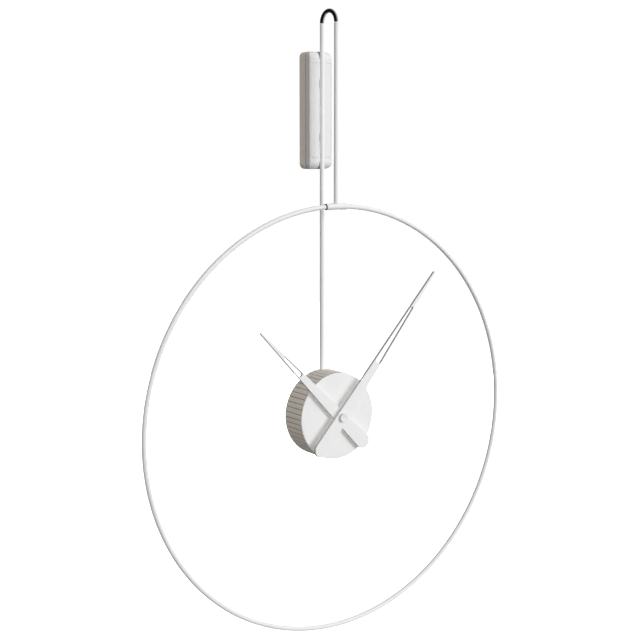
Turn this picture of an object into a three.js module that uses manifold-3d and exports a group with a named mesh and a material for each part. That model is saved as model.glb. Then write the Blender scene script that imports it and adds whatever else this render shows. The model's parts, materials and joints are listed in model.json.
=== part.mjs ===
// A large ring wall clock: a hairpin rod hangs a thin ring and a small drum from a slim wall bracket.
// Millimetres, +Z up. The origin is the middle of the bracket's back, which lies on the wall (y = 0),
// and the clock faces -Y. Neighbouring pieces keep a small gap so that each one stays a solid of its own.

import * as THREE from "three";
import { mergeVertices } from "three/addons/utils/BufferGeometryUtils.js";
import Module from "manifold-3d";

const wasm = await Module();
wasm.setup();

// ---------- driving dimensions ----------

const GAP = 0.3;
const ROD_RADIUS = 4;

const RING_RADIUS = 370;
const RING_Y = -77;
const RING_Z = -531.6;
const RING_END_GAP = 6.4;

const REAR_ROD_Y = -35.1;
const BEND_RADIUS = (REAR_ROD_Y - RING_Y) / 2;
const BEND_Z = 145.9;

const SLEEVE_LENGTH = 41;
const SLEEVE_RADIUS = 5.6;
const SLEEVE_BORE = ROD_RADIUS + GAP;

const BRACKET = { width: 46.6, height: 199.5, corner: 10, seamY: -18, frontY: -32.5, wall: 3 };
const COVER_ROUND = { ends: 13.8, sideWidth: 3, sideDrop: 1.3 };
const COVER_CAVITY = { frontY: -23, halfHeight: 84 };
const COVER_SCREW = { x: 14, z: 62, radius: 1.75, head: 3.4, headY: -28.9, headHeight: 1.8 };
const ROD_SCREW_Z = 45;
const CHANNEL = { half: 3.45, floorY: -26.5, deepFloorY: -19.5, deepFrom: 87 };
const PANEL = { backY: -29.6, halfWidth: 20.3, halfHeight: 80, corner: 4.5 };

const HUB_Z = -524;
const DRUM = { radius: 75.8, inner: 71, frontY: -83.2, backY: -32.2, staves: 52, groove: 0.9 };
const FACE_LIP = 1.7;
const FACE_THICKNESS = 3;
const ROD_DEPTH_IN_DRUM = 33.8;
const BACK_PLATE_THICKNESS = 3;
const BACK_WINDOW = 31;
const BACK_SCREW_CIRCLE = 62;

const MOVEMENT = { half: 28, frontY: -78, splitY: -70, backY: -62, wall: 1.5 };
const BUSH = { radius: 4, bore: 3, frontY: -85.2 };
const BATTERY = { radius: 7.2, length: 49.2, y: -69.5, z: -19 };
const BAY = { top: -11.3, bottom: -26.6, divider: 1.1 };

const HAND_THICKNESS = 5;
const SLOT_ROUND = 3.6;
const MINUTE_HAND = {
  length: 314, tail: 81, hub: 11.3, tip: 1.4, slot: [116, 236], rim: 1.7, frontY: -98.5, angle: 39.8,
};
const HOUR_HAND = {
  length: 225, tail: 82, hub: 10.6, tip: 1.2, slot: [113, 162], rim: 1.6, frontY: -91.5, angle: -45.2,
};
const HUB_CAP = { radius: 7.5, frontY: -103 };
const SHAFT_FRONT_Y = -100.6;
const TUBE_FRONT_Y = -92.3;

// ---------- materials ----------

const paint = (color, roughness, metalness) =>
  new THREE.MeshStandardMaterial({ color, roughness, metalness });
const whiteLacquer = paint(0xeeeeec, 0.4, 0);
const taupe = paint(0xb0a396, 0.55, 0);
const greyPlastic = paint(0xd9d6d0, 0.6, 0);
const blackPlastic = paint(0x1c1c1e, 0.55, 0);
const blackChrome = paint(0x2a2b2e, 0.12, 1);
const steel = paint(0xb4b7ba, 0.35, 1);
const brass = paint(0xc9a452, 0.35, 1);
const copper = paint(0xb5623a, 0.4, 0.8);
const rubber = paint(0x141414, 0.85, 0);
const boardGreen = paint(0x2f6b45, 0.6, 0);
const cellJacket = paint(0x4a5560, 0.4, 0.3);
const zinc = paint(0xc6c9cc, 0.4, 1);

// ---------- solids ----------

const root = new THREE.Group();
root.name = "ring_wall_clock";
const drum = new THREE.Group();
drum.position.z = HUB_Z;
root.add(drum);

function toSolid(geometry) {
  const plain = geometry.index ? geometry.toNonIndexed() : geometry.clone();
  plain.deleteAttribute("normal");
  plain.deleteAttribute("uv");
  const merged = mergeVertices(plain, 1e-4);
  return new wasm.Manifold(
    new wasm.Mesh({
      numProp: 3,
      vertProperties: merged.attributes.position.array,
      triVerts: new Uint32Array(merged.index.array),
    }),
  );
}

function toGeometry(solid) {
  const mesh = solid.getMesh();
  const geometry = new THREE.BufferGeometry();
  geometry.setAttribute("position", new THREE.BufferAttribute(mesh.vertProperties, 3));
  geometry.setIndex(new THREE.BufferAttribute(mesh.triVerts, 1));
  const flat = geometry.toNonIndexed();
  flat.computeVertexNormals();
  return flat;
}

const join = (...geometries) =>
  toGeometry(geometries.map(toSolid).reduce((sum, next) => sum.add(next)));

const cut = (body, ...tools) =>
  toGeometry(tools.map(toSolid).reduce((rest, tool) => rest.subtract(tool), toSolid(body)));

const common = (...geometries) =>
  toGeometry(geometries.map(toSolid).reduce((rest, next) => rest.intersect(next)));

function add(parent, name, geometry, material) {
  const mesh = new THREE.Mesh(geometry, material);
  mesh.name = name;
  parent.add(mesh);
  return mesh;
}

// A flat outline in X and Z, given thickness from frontY to backY.
function plate(shape, frontY, backY, arcSegments = 6) {
  const geometry = new THREE.ExtrudeGeometry(shape, {
    depth: backY - frontY,
    bevelEnabled: false,
    curveSegments: arcSegments,
  });
  return geometry.rotateX(Math.PI / 2).translate(0, backY, 0);
}

function block(x0, x1, y0, y1, z0, z1) {
  return new THREE.BoxGeometry(x1 - x0, y1 - y0, z1 - z0).translate(
    (x0 + x1) / 2,
    (y0 + y1) / 2,
    (z0 + z1) / 2,
  );
}

const rodY = (radius, y0, y1, x = 0, z = 0, sides = 16) =>
  new THREE.CylinderGeometry(radius, radius, y1 - y0, sides).translate(x, (y0 + y1) / 2, z);

const rodZ = (radius, z0, z1, y = 0, x = 0, sides = 16) =>
  new THREE.CylinderGeometry(radius, radius, z1 - z0, sides)
    .rotateX(Math.PI / 2)
    .translate(x, y, (z0 + z1) / 2);

const rodX = (radius, x0, x1, y = 0, z = 0, sides = 16) =>
  new THREE.CylinderGeometry(radius, radius, x1 - x0, sides)
    .rotateZ(Math.PI / 2)
    .translate((x0 + x1) / 2, y, z);

// A profile of [radius, y] points turned about a line along Y.
const turned = (profile, sides = 32) =>
  new THREE.LatheGeometry(profile.map(([radius, y]) => new THREE.Vector2(radius, y)), sides);

function roundedRectangle(x0, x1, z0, z1, radius) {
  const shape = new THREE.Shape();
  shape.absarc(x1 - radius, z1 - radius, radius, 0, Math.PI / 2);
  shape.absarc(x0 + radius, z1 - radius, radius, Math.PI / 2, Math.PI);
  shape.absarc(x0 + radius, z0 + radius, radius, Math.PI, 1.5 * Math.PI);
  shape.absarc(x1 - radius, z0 + radius, radius, 1.5 * Math.PI, 2 * Math.PI);
  return shape;
}

// An arc about (0, y, z), from one angle to the other, in the plane that u and v span.
class Arc extends THREE.Curve {
  constructor(radius, from, to, u, v) {
    super();
    Object.assign(this, { radius, from, to, u, v });
  }

  getPoint(t, target = new THREE.Vector3()) {
    const angle = this.from + (this.to - this.from) * t;
    return target
      .set(0, 0, 0)
      .addScaledVector(this.u, this.radius * Math.sin(angle))
      .addScaledVector(this.v, this.radius * Math.cos(angle));
  }
}

function tube(path, outer, bore, steps, sides) {
  const section = new THREE.Shape().absarc(0, 0, outer, 0, 2 * Math.PI);
  if (bore > 0) section.holes.push(new THREE.Path().absarc(0, 0, bore, 0, 2 * Math.PI));
  return new THREE.ExtrudeGeometry(section, {
    steps,
    curveSegments: sides / 2,
    extrudePath: path,
  });
}

const X = new THREE.Vector3(1, 0, 0);
const Y = new THREE.Vector3(0, 1, 0);
const Z = new THREE.Vector3(0, 0, 1);

// Angles on the ring run clockwise from the top, as seen from the front.
const ringArc = (from, to) => new Arc(RING_RADIUS, from, to, X, Z);
const ringTube = (from, to, outer, bore, steps, sides) =>
  tube(ringArc(from, to), outer, bore, steps, sides).translate(0, RING_Y, RING_Z);

// ---------- wall bracket ----------

const bracketOutline = (inset) =>
  roundedRectangle(
    -BRACKET.width / 2 + inset,
    BRACKET.width / 2 - inset,
    -BRACKET.height / 2 + inset,
    BRACKET.height / 2 - inset,
    BRACKET.corner - inset,
  );

const screwPlaces = [
  ["upper_left", -COVER_SCREW.x, COVER_SCREW.z],
  ["upper_right", COVER_SCREW.x, COVER_SCREW.z],
  ["lower_left", -COVER_SCREW.x, -COVER_SCREW.z],
  ["lower_right", COVER_SCREW.x, -COVER_SCREW.z],
];

function wallBase() {
  const wallHoleZ = 82;
  const bossRadius = 4.5;
  const shell = cut(
    plate(bracketOutline(0), BRACKET.seamY, 0),
    plate(bracketOutline(BRACKET.wall), BRACKET.seamY - 1, -BRACKET.wall),
  );
  const bosses = screwPlaces.map(([, x, z]) => rodY(bossRadius, BRACKET.seamY, -1, x, z, 10));
  const screwHoles = screwPlaces.map(([, x, z]) =>
    rodY(COVER_SCREW.radius + GAP, BRACKET.seamY - 1, -5, x, z, 10),
  );
  const wallHoles = [-wallHoleZ, wallHoleZ].map((z) => rodY(2.5, -10, 1, 0, z, 12));
  return cut(join(shell, ...bosses), ...screwHoles, ...wallHoles);
}

// The cover's outer form: its front curves back to both ends and is eased along its sides.
function coverForm() {
  const backY = BRACKET.seamY - GAP;
  const { frontY } = BRACKET;
  const half = BRACKET.width / 2;
  const top = BRACKET.height / 2;
  const { ends, sideWidth, sideDrop } = COVER_ROUND;

  const lengthways = new THREE.Shape();
  lengthways.moveTo(backY, top);
  lengthways.absarc(frontY + ends, top - ends, ends, Math.PI / 2, Math.PI);
  lengthways.absarc(frontY + ends, ends - top, ends, Math.PI, 1.5 * Math.PI);
  lengthways.lineTo(backY, -top);
  lengthways.closePath();
  const endForm = new THREE.ExtrudeGeometry(lengthways, {
    depth: 2 * half + 2,
    bevelEnabled: false,
    curveSegments: 8,
  })
    .applyMatrix4(new THREE.Matrix4().makeBasis(Y, Z, X))
    .translate(-half - 1, 0, 0);

  const across = new THREE.Shape();
  across.moveTo(-half, backY);
  across.lineTo(-half, frontY + sideDrop);
  across.quadraticCurveTo(0.4 * sideWidth - half, frontY, sideWidth - half, frontY);
  across.lineTo(half - sideWidth, frontY);
  across.quadraticCurveTo(half - 0.4 * sideWidth, frontY, half, frontY + sideDrop);
  across.lineTo(half, backY);
  across.closePath();
  const sideForm = new THREE.ExtrudeGeometry(across, {
    depth: 2 * top + 2,
    bevelEnabled: false,
    curveSegments: 4,
  }).translate(0, 0, -top - 1);

  return common(plate(bracketOutline(0), frontY, backY), endForm, sideForm);
}

const panelOutline = (margin) =>
  roundedRectangle(
    -PANEL.halfWidth - margin,
    PANEL.halfWidth + margin,
    -PANEL.halfHeight - margin,
    PANEL.halfHeight + margin,
    PANEL.corner + margin,
  );

// A shell with a channel for the rod all along its front and a recess for the two front panels.
function bracketCover() {
  const backY = BRACKET.seamY - GAP;
  const top = BRACKET.height / 2;
  const cavityHalf = BRACKET.width / 2 - BRACKET.wall;
  const { frontY: cavityY, halfHeight: cavityEnd } = COVER_CAVITY;
  const { half, floorY, deepFloorY, deepFrom } = CHANNEL;
  const hollow = cut(
    coverForm(),
    block(-cavityHalf, cavityHalf, cavityY, backY + 1, -cavityEnd, cavityEnd),
    block(-half, half, -40, floorY, -top - 1, top + 1),
    block(-half, half, -40, deepFloorY, deepFrom, top + 1),
    block(-half, half, -40, deepFloorY, -top - 1, -deepFrom),
    plate(panelOutline(GAP), -40, PANEL.backY + GAP),
  );
  const pillars = screwPlaces.map(([, x, z]) => rodY(4.5, cavityY - 1, backY, x, z, 10));
  const screwHoles = screwPlaces.map(([, x, z]) =>
    rodY(COVER_SCREW.radius + GAP, -40, 0, x, z, 10),
  );
  const seatY = COVER_SCREW.headY + COVER_SCREW.headHeight + GAP;
  const headSeats = screwPlaces.map(([, x, z]) => rodY(COVER_SCREW.head + GAP, -40, seatY, x, z, 14));
  const rodScrewHoles = [-ROD_SCREW_Z, ROD_SCREW_Z].map((z) => rodY(2.3, -40, 0, 0, z, 12));
  return cut(join(hollow, ...pillars), ...screwHoles, ...headSeats, ...rodScrewHoles);
}

// Two flat panels, set flush in the cover either side of the rod, hide the screws.
function frontPanel(side) {
  const { halfWidth, halfHeight } = PANEL;
  const [x0, x1] = side === "left" ? [-CHANNEL.half, halfWidth + 1] : [-halfWidth - 1, CHANNEL.half];
  return cut(
    plate(panelOutline(0), BRACKET.frontY, PANEL.backY),
    block(x0, x1, -40, 0, -halfHeight - 1, halfHeight + 1),
  );
}

const coverScrew = (x, z) =>
  join(
    rodY(COVER_SCREW.head, COVER_SCREW.headY, COVER_SCREW.headY + COVER_SCREW.headHeight, x, z, 14),
    rodY(COVER_SCREW.radius, COVER_SCREW.headY + 1, -6, x, z, 10),
  );

// The screw comes from inside the cover, through the saddle, into the rod.
const rodScrew = (z) =>
  join(
    rodY(3.5, COVER_CAVITY.frontY + GAP, -19.9, 0, z, 14),
    rodY(2, REAR_ROD_Y - 1, -20, 0, z, 12),
  );

// A hollowed pad between the channel's floor and the rod where the screw passes.
const rodSaddle = (z) =>
  cut(
    block(GAP - CHANNEL.half, CHANNEL.half - GAP, BRACKET.frontY, CHANNEL.floorY - GAP, z - 6, z + 6),
    rodZ(ROD_RADIUS + GAP, z - 7, z + 7, REAR_ROD_Y, 0, 24),
    rodY(2.3, -40, -20, 0, z, 12),
  );

add(root, "wall_base", wallBase(), taupe);
add(root, "bracket_cover", bracketCover(), whiteLacquer);
for (const side of ["left", "right"]) add(root, "front_panel_" + side, frontPanel(side), whiteLacquer);
for (const [place, x, z] of screwPlaces) add(root, "cover_screw_" + place, coverScrew(x, z), zinc);
for (const [place, z] of [["upper", ROD_SCREW_Z], ["lower", -ROD_SCREW_Z]]) {
  add(root, "rod_screw_" + place, rodScrew(z), zinc);
  add(root, "rod_saddle_" + place, rodSaddle(z), blackPlastic);
}

// ---------- hairpin hanger ----------

const SPIGOT_RADIUS = 2.4;
const SPIGOT_REACH = 12;
const ROD_FOOT_Z = HUB_Z + DRUM.radius - ROD_DEPTH_IN_DRUM;
const CLAMP_SCREW_Z = [ROD_FOOT_Z + 7, ROD_FOOT_Z + 19];
const ROD_SIDES = 16;

const spigotBore = (y) =>
  rodZ(SPIGOT_RADIUS + GAP, BEND_Z - SPIGOT_REACH - 1, BEND_Z + SPIGOT_REACH + 1, y, 0, 12);

function rearRod() {
  return cut(
    rodZ(ROD_RADIUS, ROD_FOOT_Z, BEND_Z - GAP, REAR_ROD_Y, 0, ROD_SIDES),
    spigotBore(REAR_ROD_Y),
    ...[-ROD_SCREW_Z, ROD_SCREW_Z].map((z) => rodY(2.3, REAR_ROD_Y - 2, -20, 0, z, 12)),
    ...CLAMP_SCREW_Z.map((z) => rodY(2.3, -50, -20, 0, z, 12)),
  );
}

function frontRod() {
  const sleeveTop = RING_Z + RING_RADIUS + SLEEVE_RADIUS;
  const halfSleeve = SLEEVE_LENGTH / 2 / RING_RADIUS;
  return cut(
    rodZ(ROD_RADIUS, sleeveTop - 2.5, BEND_Z - GAP, RING_Y, 0, ROD_SIDES),
    ringTube(-halfSleeve, halfSleeve, SLEEVE_RADIUS + GAP, 0, 4, 16),
    rodZ(2.3, sleeveTop - 5, sleeveTop + 17, RING_Y, 0, 12),
    spigotBore(RING_Y),
  );
}

function hairpinBend() {
  const arc = new Arc(BEND_RADIUS, -Math.PI / 2, Math.PI / 2, Y, Z);
  const bend = tube(arc, ROD_RADIUS, 0, 14, ROD_SIDES).translate(0, (RING_Y + REAR_ROD_Y) / 2, BEND_Z);
  return cut(bend, spigotBore(RING_Y), spigotBore(REAR_ROD_Y));
}

add(root, "rear_rod", rearRod(), whiteLacquer);
add(root, "front_rod", frontRod(), whiteLacquer);
add(root, "hairpin_bend", hairpinBend(), blackChrome);
for (const [place, y] of [["front", RING_Y], ["rear", REAR_ROD_Y]]) {
  const reach = 8;
  add(root, "bend_spigot_" + place, rodZ(SPIGOT_RADIUS, BEND_Z - SPIGOT_REACH, BEND_Z + reach / 2, y, 0, 12), steel);
}

// ---------- ring ----------

const SET_SCREW_ANGLE = 12 / RING_RADIUS;
const atRing = (geometry, angle) => geometry.rotateY(angle).translate(0, RING_Y, RING_Z);
const setScrewHole = (angle) =>
  atRing(rodZ(1.5 + GAP, RING_RADIUS - 8, RING_RADIUS - ROD_RADIUS + 1.5, 0, 0, 10), angle);

function ring() {
  const end = RING_END_GAP / 2 / RING_RADIUS;
  return cut(
    ringTube(end, 2 * Math.PI - end, ROD_RADIUS, 0, 100, 8),
    setScrewHole(SET_SCREW_ANGLE),
    setScrewHole(-SET_SCREW_ANGLE),
  );
}

function ringSleeve() {
  const half = SLEEVE_LENGTH / 2 / RING_RADIUS;
  return cut(
    ringTube(-half, half, SLEEVE_RADIUS, SLEEVE_BORE, 4, 16),
    rodZ(2.3, RING_Z + RING_RADIUS, RING_Z + RING_RADIUS + 10, RING_Y, 0, 12),
    setScrewHole(SET_SCREW_ANGLE),
    setScrewHole(-SET_SCREW_ANGLE),
  );
}

function sleeveSeal(direction) {
  const near = (SLEEVE_LENGTH / 2 + GAP) / RING_RADIUS;
  const far = near + 1.4 / RING_RADIUS;
  const [from, to] = direction > 0 ? [near, far] : [-far, -near];
  return ringTube(from, to, SLEEVE_RADIUS - 0.4, SLEEVE_BORE, 1, 12);
}

add(root, "ring", ring(), whiteLacquer);
add(root, "ring_sleeve", ringSleeve(), whiteLacquer);
add(
  root,
  "ring_stud",
  rodZ(2, RING_Z + RING_RADIUS - 3, RING_Z + RING_RADIUS + SLEEVE_RADIUS + 15, RING_Y, 0, 12),
  steel,
);
for (const [side, direction] of [["left", -1], ["right", 1]]) {
  const inner = RING_RADIUS - SLEEVE_RADIUS - 0.2;
  const screw = rodZ(1.5, inner, RING_RADIUS - ROD_RADIUS + 1, 0, 0, 10);
  add(root, "sleeve_seal_" + side, sleeveSeal(direction), rubber);
  add(root, "sleeve_set_screw_" + side, atRing(screw, direction * SET_SCREW_ANGLE), steel);
}

// ---------- drum ----------

const backScrewPlaces = [30, 150, 270].map((degrees) => {
  const angle = THREE.MathUtils.degToRad(degrees);
  return [BACK_SCREW_CIRCLE * Math.cos(angle), BACK_SCREW_CIRCLE * Math.sin(angle)];
});

// Slightly crowned staves with a V groove between each two.
function staveOutline() {
  const shape = new THREE.Shape();
  const pitch = (2 * Math.PI) / DRUM.staves;
  const grooveHalf = 0.075 * pitch;
  const point = (radius, angle) => [radius * Math.sin(angle), radius * Math.cos(angle)];
  for (let i = 0; i < DRUM.staves; i++) {
    const start = i * pitch;
    if (i === 0) shape.moveTo(...point(DRUM.radius - DRUM.groove, start));
    else shape.lineTo(...point(DRUM.radius - DRUM.groove, start));
    shape.lineTo(...point(DRUM.radius - 0.15, start + grooveHalf));
    shape.lineTo(...point(DRUM.radius, start + pitch / 2));
    shape.lineTo(...point(DRUM.radius - 0.15, start + pitch - grooveHalf));
  }
  shape.closePath();
  return shape;
}

function drumRim() {
  const frontY = DRUM.frontY + FACE_LIP + GAP;
  const plateFrontY = DRUM.backY - BACK_PLATE_THICKNESS - GAP;
  const outline = staveOutline();
  outline.holes.push(new THREE.Path().absarc(0, 0, DRUM.inner, 0, 2 * Math.PI));
  const shell = plate(outline, frontY, DRUM.backY, 26);
  const bossLength = 24;
  const bosses = backScrewPlaces.flatMap(([x, z]) => {
    const web = block(-3, 3, plateFrontY - bossLength, plateFrontY, BACK_SCREW_CIRCLE, DRUM.inner + 1)
      .rotateY(Math.atan2(x, z));
    return [rodY(5, plateFrontY - bossLength, plateFrontY, x, z, 14), web];
  });
  const screwHoles = backScrewPlaces.map(([x, z]) =>
    rodY(1.6 + GAP, plateFrontY - 16, plateFrontY + 1, x, z, 10),
  );
  const rodBlock = block(-11, 11, plateFrontY - 16, plateFrontY, DRUM.radius - ROD_DEPTH_IN_DRUM - 3, DRUM.inner + 1);
  const rodWay = join(
    rodZ(ROD_RADIUS + GAP, DRUM.radius - ROD_DEPTH_IN_DRUM - 1, DRUM.radius + 5, REAR_ROD_Y, 0, 20),
    block(-ROD_RADIUS - GAP, ROD_RADIUS + GAP, REAR_ROD_Y, -20, DRUM.radius - ROD_DEPTH_IN_DRUM - 1, DRUM.radius + 5),
  );
  const clampHoles = CLAMP_SCREW_Z.map((z) => rodY(2 + GAP, plateFrontY - 13, -20, 0, z - HUB_Z, 12));
  return cut(join(shell, ...bosses, rodBlock), ...screwHoles, rodWay, ...clampHoles);
}

function faceDisc() {
  const lipBack = DRUM.frontY + FACE_LIP;
  const skirtRadius = DRUM.inner - GAP;
  const skirtInner = skirtRadius - 3;
  const skirtBack = lipBack + 6;
  const holeRadius = BUSH.radius + GAP;
  const faceBack = DRUM.frontY + FACE_THICKNESS;
  const edge = 0.8;
  const outer = DRUM.radius - 0.3;
  return turned(
    [
      [holeRadius, DRUM.frontY],
      [outer - edge, DRUM.frontY],
      [outer, DRUM.frontY + edge],
      [outer, lipBack],
      [skirtRadius, lipBack],
      [skirtRadius, skirtBack],
      [skirtInner, skirtBack],
      [skirtInner, faceBack],
      [holeRadius, faceBack],
      [holeRadius, DRUM.frontY],
    ],
    52,
  );
}

function backPlate() {
  const frontY = DRUM.backY - BACK_PLATE_THICKNESS;
  const shape = new THREE.Shape().absarc(0, 0, DRUM.inner - GAP, 0, 2 * Math.PI);
  const disc = plate(shape, frontY, DRUM.backY, 24);
  const window = plate(
    roundedRectangle(-BACK_WINDOW, BACK_WINDOW, -BACK_WINDOW, BACK_WINDOW, 4),
    frontY - 1,
    DRUM.backY + 1,
  );
  const slotHalf = ROD_RADIUS + 2 * GAP;
  const rodSlot = block(-slotHalf, slotHalf, frontY - 1, -20, DRUM.radius - ROD_DEPTH_IN_DRUM - 1, 90);
  const holes = backScrewPlaces.map(([x, z]) => rodY(1.6 + GAP, -50, -20, x, z, 10));
  return cut(disc, window, rodSlot, ...holes);
}

const backPlateScrew = (x, z) =>
  join(
    rodY(3, DRUM.backY + GAP, DRUM.backY + 2.3, x, z, 14),
    rodY(1.6, DRUM.backY - 14, DRUM.backY + 1, x, z, 10),
  );

const clampScrew = (z) =>
  join(
    rodY(3.5, REAR_ROD_Y + ROD_RADIUS + GAP, REAR_ROD_Y + ROD_RADIUS + 2.8, 0, z, 14),
    rodY(2, DRUM.backY - 15, REAR_ROD_Y + ROD_RADIUS + 1, 0, z, 12),
  );

add(drum, "drum_rim", drumRim(), taupe);
add(drum, "face_disc", faceDisc(), whiteLacquer);
add(drum, "back_plate", backPlate(), taupe);
backScrewPlaces.forEach(([x, z], i) => add(drum, "back_plate_screw_" + (i + 1), backPlateScrew(x, z), zinc));
CLAMP_SCREW_Z.forEach((z, i) => add(root, "rod_clamp_screw_" + (i + 1), clampScrew(z), zinc));

// ---------- clock movement ----------

const gearPocketTop = MOVEMENT.half - MOVEMENT.wall;
const gearPocketBottom = BAY.top + BAY.divider;
const caseHalf = gearPocketTop;
const gearPocket = (y0, y1) => block(-caseHalf, caseHalf, y0, y1, gearPocketBottom, gearPocketTop);
const batteryPocket = (y0, y1) => block(-caseHalf, caseHalf, y0, y1, BAY.bottom, BAY.top);
const caseBlock = (y0, y1) =>
  plate(roundedRectangle(-MOVEMENT.half, MOVEMENT.half, -MOVEMENT.half, MOVEMENT.half, 3), y0, y1, 3);

const movementCaseFront = () =>
  cut(
    join(
      cut(
        caseBlock(MOVEMENT.frontY, MOVEMENT.splitY - GAP),
        gearPocket(MOVEMENT.frontY + MOVEMENT.wall, MOVEMENT.splitY + 1),
        batteryPocket(MOVEMENT.frontY + 1, MOVEMENT.splitY + 1),
      ),
      rodY(BUSH.radius, BUSH.frontY, MOVEMENT.frontY + 1, 0, 0, 20),
    ),
    rodY(BUSH.bore, BUSH.frontY - 1, MOVEMENT.frontY + 3, 0, 0, 16),
  );

// Wheel places in X and Z from the hub, each a pair of pitch radii and a gap away from the last.
const GEARS = {
  minute: { x: 9.6, z: 0 },
  third: { x: -7.5, z: 5.8 },
  fourth: { x: -3.5, z: 12.8 },
  rotor: { x: 3.8, z: 12.8 },
};

const movementCaseBack = () =>
  cut(
    caseBlock(MOVEMENT.splitY, MOVEMENT.backY),
    gearPocket(MOVEMENT.splitY - 1, MOVEMENT.backY - MOVEMENT.wall),
    batteryPocket(MOVEMENT.splitY - 1, MOVEMENT.backY + 1),
    rodY(2, MOVEMENT.backY - 4, MOVEMENT.backY + 1, GEARS.minute.x, GEARS.minute.z, 12),
  );

// A toothed disc: short trapezoid teeth round a web, about a line along Y.
function gear(radius, teeth, frontY, backY) {
  const shape = new THREE.Shape();
  const depth = 0.09 * radius + 0.2;
  for (let i = 0; i < teeth; i++) {
    const at = (fraction) => ((i + fraction) * 2 * Math.PI) / teeth;
    const corners = [
      [radius - depth, 0],
      [radius, 0.35],
      [radius, 0.65],
    ];
    for (const [r, fraction] of corners) {
      const place = [r * Math.sin(at(fraction)), r * Math.cos(at(fraction))];
      if (i === 0 && fraction === 0) shape.moveTo(...place);
      else shape.lineTo(...place);
    }
  }
  shape.closePath();
  return plate(shape, frontY, backY);
}

const rubberWasher = () =>
  cut(
    rodY(8, DRUM.frontY + FACE_THICKNESS + GAP, MOVEMENT.frontY - GAP, 0, 0, 20),
    rodY(BUSH.radius + GAP, -90, -70, 0, 0, 20),
  );

function centreNut() {
  const back = DRUM.frontY - GAP;
  return cut(rodY(6.2, back - 1.8, back, 0, 0, 6), rodY(BUSH.radius + GAP, -90, -80, 0, 0, 20));
}

// The wheel that carries the minute arbor, with the cannon pinion on it.
const centreWheel = () =>
  join(
    rodY(1, SHAFT_FRONT_Y, -65, 0, 0, 12),
    gear(2.3, 8, -74.2, -72.8),
    gear(8, 24, -70.2, -69.5),
  );

// The hour wheel and its pipe, which turns round the minute arbor inside the bush.
const hourWheel = () =>
  cut(
    join(gear(7.4, 22, -76, -75.2), rodY(2.6, TUBE_FRONT_Y, -75.6, 0, 0, 16)),
    rodY(1.4, TUBE_FRONT_Y - 1, -70, 0, 0, 12),
  );

const minuteWheel = () =>
  join(
    rodY(0.8, -76.2, -59.8, 0, 0, 8),
    gear(1.9, 7, -76.2, -74.6),
    gear(7, 20, -73.9, -73.1),
  );

const thirdWheel = () =>
  join(rodY(0.6, -75, -64.5, 0, 0, 8), gear(1.2, 6, -70.9, -68.9), gear(6.5, 18, -71.9, -71.2));

const fourthWheel = () =>
  join(rodY(0.6, -75, -64.5, 0, 0, 8), gear(1.2, 6, -72.4, -70.9), gear(6, 18, -68.2, -67.5));

const rotor = () =>
  join(rodY(0.6, -75, -64.5, 0, 0, 8), rodY(3, -71.5, -68.6, 0, 0, 16), gear(1, 6, -68.7, -67.2));

const STATOR = { frontY: -70.5, backY: -69.5, coilZ: 22.5, left: 4, right: 23, half: 4.4 };

function statorPlate() {
  const { x, z } = GEARS.rotor;
  const { frontY, backY, coilZ, left, right, half } = STATOR;
  return cut(
    join(
      block(x - half, x + half, frontY, backY, z - half, z + half),
      block(x, right + 2, frontY, backY, z + 1, z + half),
      block(left - 2, left + 2, frontY, backY, z + half - 1, coilZ + 2),
      block(right - 2, right + 2, frontY, backY, z + half - 1, coilZ + 2),
    ),
    rodY(3.4, frontY - 1, backY + 1, x, z, 16),
  );
}

// A wire-wound bobbin on the laminated core that bridges the stator's arms.
function driveCoil() {
  const { frontY, coilZ, left, right } = STATOR;
  const coreBack = frontY - GAP;
  const y = coreBack - 0.6;
  return join(
    block(left - 2, right + 2, coreBack - 1.2, coreBack, coilZ - 1.5, coilZ + 1.5),
    rodX(3, left + 4, right - 4, y, coilZ, 14),
    rodX(3.6, left + 3, left + 4, y, coilZ, 14),
    rodX(3.6, right - 4, right - 3, y, coilZ, 14),
  );
}

const circuitBoard = () => block(17.5, 26, -66.5, -65.5, -9, 11);
const quartzCrystal = () => rodZ(1, 1, 8, -67.9, 22, 12);

function settingKnob() {
  const front = MOVEMENT.backY + GAP;
  return cut(gear(5.5, 20, front, front + 3.2), rodY(0.8 + GAP, -70, front + 2.2, 0, 0, 8));
}

function battery() {
  const half = BATTERY.length / 2;
  return join(
    rodX(BATTERY.radius, -half - 0.5, half - 0.5, BATTERY.y, BATTERY.z, 28),
    rodX(2.7, half - 1, half + 0.5, BATTERY.y, BATTERY.z, 14),
  );
}

const contactHalf = 4;
const batteryContact = () =>
  block(
    25.5,
    26.1,
    BATTERY.y - contactHalf,
    BATTERY.y + contactHalf,
    BATTERY.z - contactHalf,
    BATTERY.z + contactHalf,
  );

// A leaf bowed towards the cell.
function batterySpring() {
  const thickness = 0.35;
  const shape = new THREE.Shape();
  shape.moveTo(-26.2, -contactHalf);
  shape.quadraticCurveTo(-24.9, 0, -26.2, contactHalf);
  shape.lineTo(-26.2 + thickness, contactHalf);
  shape.quadraticCurveTo(-24.9 + thickness, 0, -26.2 + thickness, -contactHalf);
  shape.closePath();
  return plate(shape, BATTERY.y - contactHalf, BATTERY.y + contactHalf, 6).translate(0, 0, BATTERY.z);
}

function place(mesh, { x, z }) {
  mesh.position.set(x, 0, z);
}

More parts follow.
